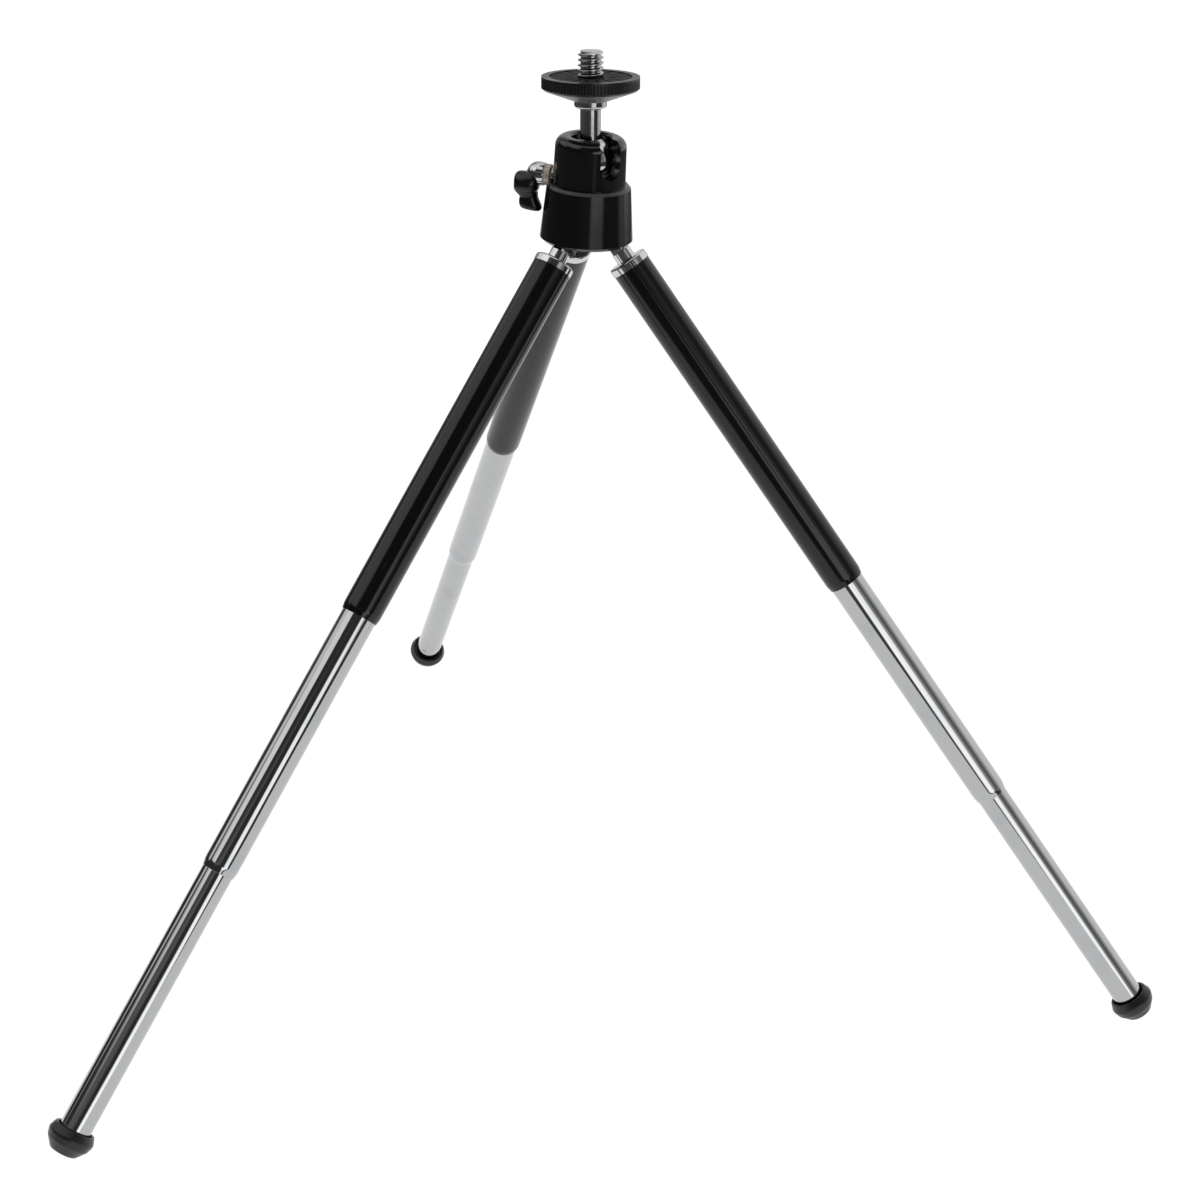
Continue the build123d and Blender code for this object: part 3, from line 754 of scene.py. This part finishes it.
# %% [markdown]
# ## The moulded grip
#
# The knob's grip is a hub with a lever that hangs down beside it. It is injection moulded, so
# nothing on it is sharp: the hub swells, pinches in at the waist and runs into a lobe with a
# slanted sole. It is built as a stack of rounded rings. Each ring has a front and a back
# point in the knob's plane and a thickness, and smooth curves carry them downwards.

# %% The grip
def through(points, steps=6):
    """Smooth curve through the points (Catmull-Rom): each stretch leaves a point in the
    direction from its neighbour before to its neighbour after."""
    points = np.array(points, float)
    padded = np.vstack([2 * points[0] - points[1], points, 2 * points[-1] - points[-2]])
    p0, p1, p2, p3 = (padded[k:len(points) - 1 + k, None] for k in range(4))
    t = (np.arange(steps) / steps)[None, :, None]
    curve = 0.5 * (
        2 * p1 + (p2 - p0) * t + (2 * p0 - 5 * p1 + 4 * p2 - p3) * t**2
        + (3 * p1 - p0 - 3 * p2 + p3) * t**3
    )
    return np.vstack([curve.reshape(-1, points.shape[1]), points[-1:]])


hub_middle, hub_height, hub_half, hub_radius = 2.65, -2.40, 3.15, 3.10
first_lean, last_lean, hub_rings, squareness = 1.5, 112, 22, 4
lean = np.radians(np.linspace(first_lean, last_lean, hub_rings))
fullness = (1 - np.abs(np.cos(lean)) ** squareness) ** (1 / squareness)
hub_level = hub_height + hub_radius * np.cos(lean)
hub = np.column_stack([
    hub_middle + hub_half * fullness, hub_level, hub_middle - hub_half * fullness, hub_level,
    hub_radius * np.sin(lean),
])
# Front point (outwards, upwards), back point and half thickness of the lever's rings, in mm
# from the end of the knurled collar.
lever = [
    (5.55, -4.25, -0.20, -4.10, 2.55), (4.70, -5.10, -0.25, -5.00, 2.28),
    (4.22, -5.65, -0.35, -5.80, 2.20), (4.32, -6.45, -0.75, -6.70, 2.28),
    (4.28, -7.45, -1.25, -7.70, 2.30), (3.95, -8.20, -1.40, -8.50, 2.15),
    (3.35, -8.55, -1.15, -8.92, 1.75), (2.40, -8.72, -0.40, -8.98, 1.05),
    (1.20, -8.85, 0.80, -8.90, 0.20),
]
rings = np.vstack([hub, through(np.vstack([hub[-1:], lever]))[1:]]) * mm
front, rear_point, half_thick = rings[:, 0:2], rings[:, 2:4], rings[:, 4]
columns, roundness = 72, 2 / 2.7
turn = np.arange(columns) * 2 * np.pi / columns
bulge = np.sign(np.cos(turn)) * np.abs(np.cos(turn)) ** roundness
flank = np.sign(np.sin(turn)) * np.abs(np.sin(turn)) ** roundness
centre = (front + rear_point) / 2
spread = (front - rear_point) / 2
flat = centre[:, None] + spread[:, None] * bulge[None, :, None]
grip_side = 1.5 * mm
aside = grip_side + half_thick[:, None] * flank[None, :]
knob_side = np.cross(UP, lock_axis.axis)
start = lock_axis.origin + lock_axis.axis * collar_end
grip_grid = (
    start + flat[..., :1] * lock_axis.axis + flat[..., 1:] * UP + aside[..., None] * knob_side
)
grid_piece("knob_grip_moulded", grip_grid, grip_grid - start, "knob_grip", False)
grip_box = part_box("knob_grip")
print("grip, model's box", [[round(x / mm, 2) for x in corner] for corner in grip_box])
print("grip, moulded    ", (grip_grid.reshape(-1, 3).min(0) / mm).round(2),
      (grip_grid.reshape(-1, 3).max(0) / mm).round(2))

# %% [markdown]
# ## Light
#
# Black gloss and chrome show nothing of their own: they show the room. So the light is built
# as a room and not as lamps: a bright low window in front, large white panels on the left and
# the right, a ceiling, and dark gaps between them, which draw the dark lines down the tubes.
# The room is a function of direction, so each panel is a patch of azimuth and elevation with
# soft edges. Panels made of mesh would do too, but they would stand in the way of some views.

# %% The room, as panels of light by direction
# From azimuth, to azimuth, from elevation, to elevation, softness (all in degrees) and
# brightness. Azimuth 0 is the front, and it grows towards the right. A later panel stands in
# front of an earlier one.
panels = (
    (95, 200, -10, -3, 2, 0.95),        # the floor beyond the acrylic, at the back
    (-5, 3, -32, -10, 3, 0.34),         # a strip of it in front
    (-150, -34, -42, -12, 6, 0.11),     # and dim on the left
    (-200, 200, 56, 95, 8, 0.95),       # ceiling
    (-155, -108, 16, 62, 4, 1.00),      # large panel on the left, in two steps
    (-112, -60, 30, 62, 4, 1.25),
    (-64, -20, 23, 33, 4, 0.16),        # its faint light on the wall
    (16, 78, 4, 32, 4, 0.52),           # corner on the right, with a darker middle
    (34, 58, 4, 32, 5, 0.19),
    (73, 135, -8, 60, 6, 1.00),         # panel on the right
    (132, 200, -8, 60, 8, 0.65),        # wall behind
    (-200, -150, -8, 60, 6, 0.30),
    (-32, -9, -19, 2, 3, 0.08),         # gap below the window
    (-8, 24, -5, 9, 3, 2.00),           # low window in front
    (6, 21, 6, 18, 3, 1.80),
)
world = bpy.data.worlds.new("studio")
bpy.context.scene.world = world
room = Finish(world)
direction = room.node("ShaderNodeTexCoord", output="Generated")
x, y, z = (room.node("ShaderNodeSeparateXYZ", None, {0: direction}, k) for k in range(3))
azimuth = x.math("ARCTAN2", -1 * y) * math.degrees(1)
elevation = z.math("ARCSINE") * math.degrees(1)
glow = 0.045                            # of the dark between the panels
for first, last, low, high, soft, level in panels:
    patch = (
        azimuth.between(first - soft, first + soft)
        * (1 - azimuth.between(last - soft, last + soft))
        * elevation.between(low - soft, low + soft)
        * (1 - elevation.between(high - soft, high + soft))
    )
    glow = (1 - patch) * glow + level * patch
room.feed(room.tree.nodes["Background"].inputs["Strength"], glow)
room.tree.nodes["Background"].inputs["Color"].default_value = (1.0, 0.995, 0.985, 1.0)
print("panels", len(panels))

# %% [markdown]
# ## Floor and backdrop
#
# The tripod stands on a sheet of white acrylic that glows from below, so it has no shadows.
# The chrome shows the sheet, but the camera looks past it at an even white dome: a leg that
# is folded while it is drawn out reaches below the ground, and the sheet would cut it off.
# The dome is for the camera alone. What the metal reflects is the sheet and the room.

# %% White floor and white dome
def glowing(name, colour, emission):
    material = bpy.data.materials.new(name)
    material.use_nodes = True
    shader = material.node_tree.nodes["Principled BSDF"]
    constants = {
        "Base Color": grey(colour), "Roughness": 0.9, "Specular IOR Level": 0.0,
        "Emission Color": grey(1.0), "Emission Strength": emission,
    }
    for socket, value in constants.items():
        shader.inputs[socket].default_value = value
    return material


def stage_mesh(name, points, faces, material, unseen):
    """An object of the stage that some kinds of ray don't see."""
    mesh = bpy.data.meshes.new(name)
    mesh.from_pydata(points.tolist(), [], faces.tolist())
    mesh.materials.append(material)
    made = bpy.data.objects.new(name, mesh)
    bpy.context.scene.collection.objects.link(made)
    for kind in unseen:
        setattr(made, "visible_" + kind, False)
    made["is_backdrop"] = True
    print("stage", name, "points", len(points))


# The sheet reaches further on the right and behind than in front and on the left.
near_edge, far_edge = 0.40, 0.82
widens, widening, narrows, narrowing = 22, 8, 205, 10      # degrees from the front
columns = 180
turn = np.arange(columns) * 2 * np.pi / columns
from_front = np.mod(np.degrees(turn) + 90, 360)
reaching = (
    np.clip((from_front - widens) / widening, 0, 1)
    * np.clip((narrows - from_front) / narrowing, 0, 1)
)
edge = near_edge + (far_edge - near_edge) * reaching
sheet = np.stack([edge * np.cos(turn), edge * np.sin(turn), 0 * turn], axis=-1)
acrylic = glowing("acrylic", 0.10, 0.96)
stage_mesh("floor", sheet, np.arange(columns)[None, :], acrylic, ("camera",))

rows, dome_radius = 48, 6.2
nearly_pole = 0.4999                    # of a half turn, so that no face shrinks to a point
rise = np.linspace(-nearly_pole, nearly_pole, rows)[:, None] * np.pi
level = np.cos(rise)
dome_points = dome_radius * np.stack(
    [level * np.cos(turn), level * np.sin(turn), np.sin(rise) + 0 * turn], axis=-1
)
number = np.arange(rows * columns).reshape(rows, columns)
dome_faces = np.stack(
    [number[:-1], number[1:], np.roll(number[1:], -1, 1), np.roll(number[:-1], -1, 1)], axis=-1
)
stage_mesh(
    "dome", dome_points.reshape(-1, 3), dome_faces.reshape(-1, 4),
    glowing("dome_white", 0.0, 1.05), ("glossy", "diffuse", "shadow", "transmission"),
)

# %% Measure and finish
visual_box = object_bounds()
grown = (np.array(visual_box) - np.array(cad_box)) / mm
print("grown, mm", grown.round(2).tolist())
